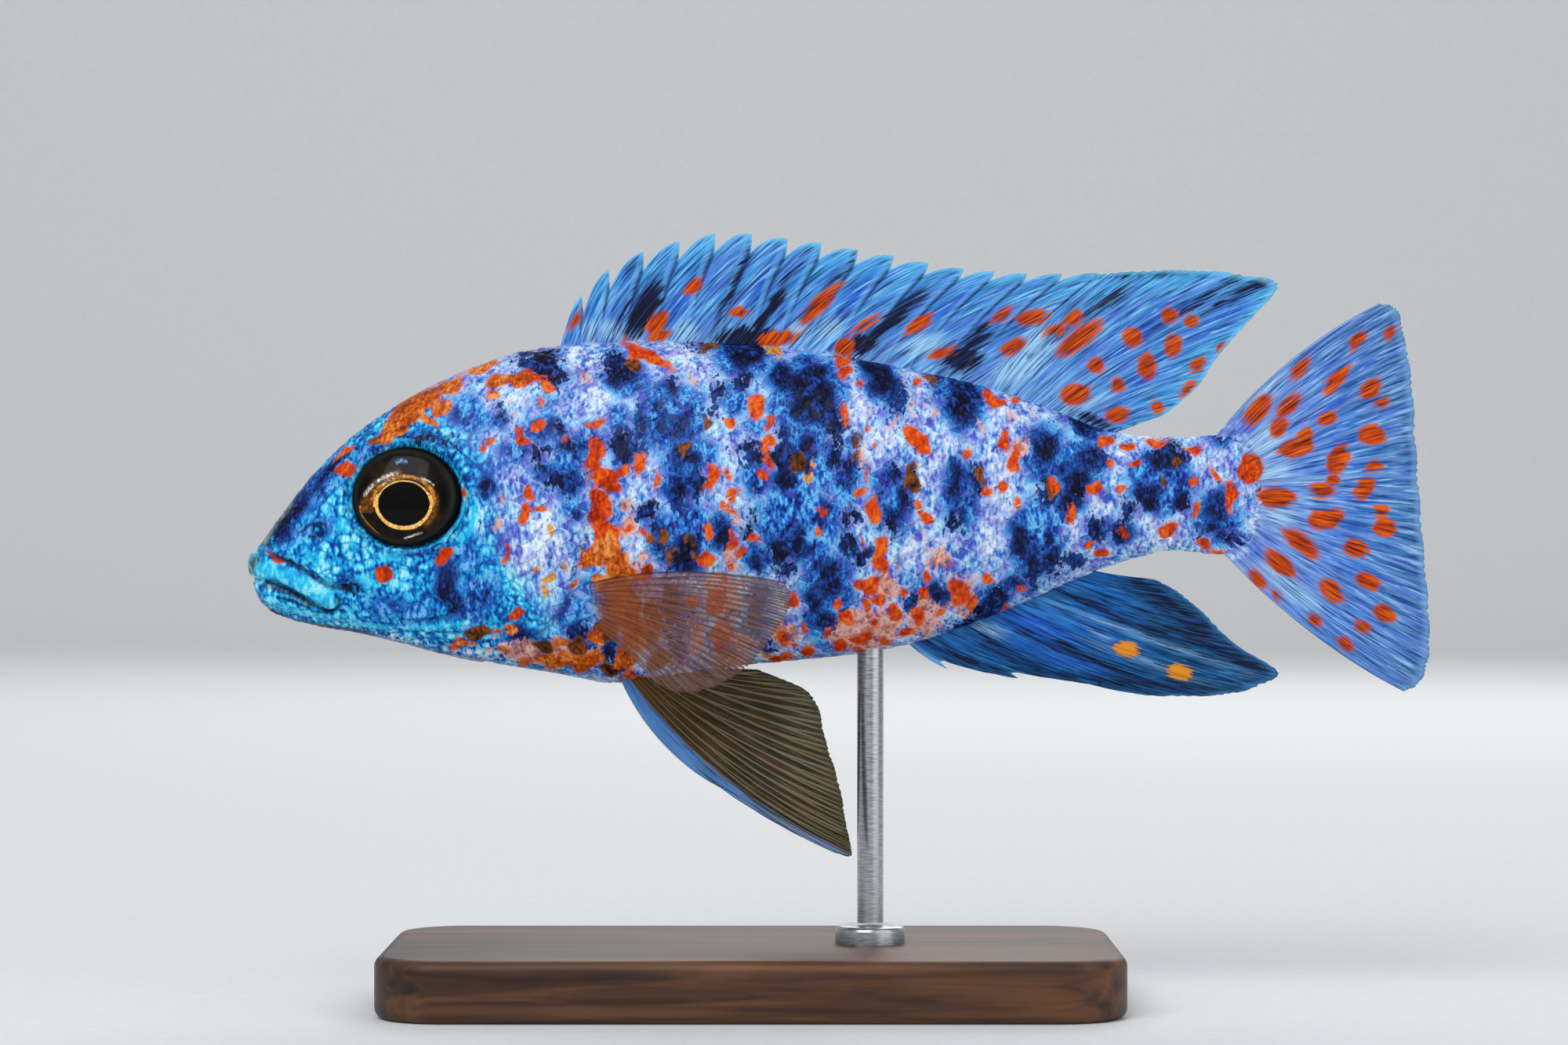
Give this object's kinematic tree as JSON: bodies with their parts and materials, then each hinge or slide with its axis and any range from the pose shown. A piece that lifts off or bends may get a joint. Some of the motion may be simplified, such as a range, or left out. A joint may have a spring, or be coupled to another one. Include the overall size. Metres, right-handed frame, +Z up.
{
  "type": "peacock cichlid",
  "caption": "Still life-size model of a blue and orange blotched peacock cichlid with raised fins, held level on a flat base with one short rod.",
  "frame": {"origin": "centre of the stand's underside", "axes": "+Z up, -X the way the fish faces, -Y towards its left side"},
  "size_m": [0.1364, 0.044, 0.0883],
  "materials": {
    "skin": "wet pearly scales, blue and lilac with navy and orange blotches",
    "eye": "clear wet gloss over a dark iris with a gold ring",
    "fin": "ribbed satin blue with orange spots",
    "clear_fin": "clear ribbed membrane, amber to olive brown",
    "wood": "satin lacquered walnut",
    "steel": "brushed"
  },
  "bodies": {
    "root": {"head": "skin", "upper_jaw": "skin", "lower_jaw": "skin", "throat": "skin", "gill_cover_left": "skin", "gill_cover_right": "skin", "trunk": "skin", "tail_stalk": "skin", "eye_left": "eye", "eye_right": "eye", "dorsal_fin_spiny": "fin", "dorsal_fin_soft": "fin", "tail_fin": "fin", "anal_fin": "fin", "pectoral_fin_left": "clear_fin", "pectoral_fin_right": "clear_fin", "pelvic_fin_left": "clear_fin", "pelvic_fin_right": "clear_fin", "stand_base": "wood", "stand_collar": "steel", "stand_rod": "steel"}
  },
  "joints": []
}
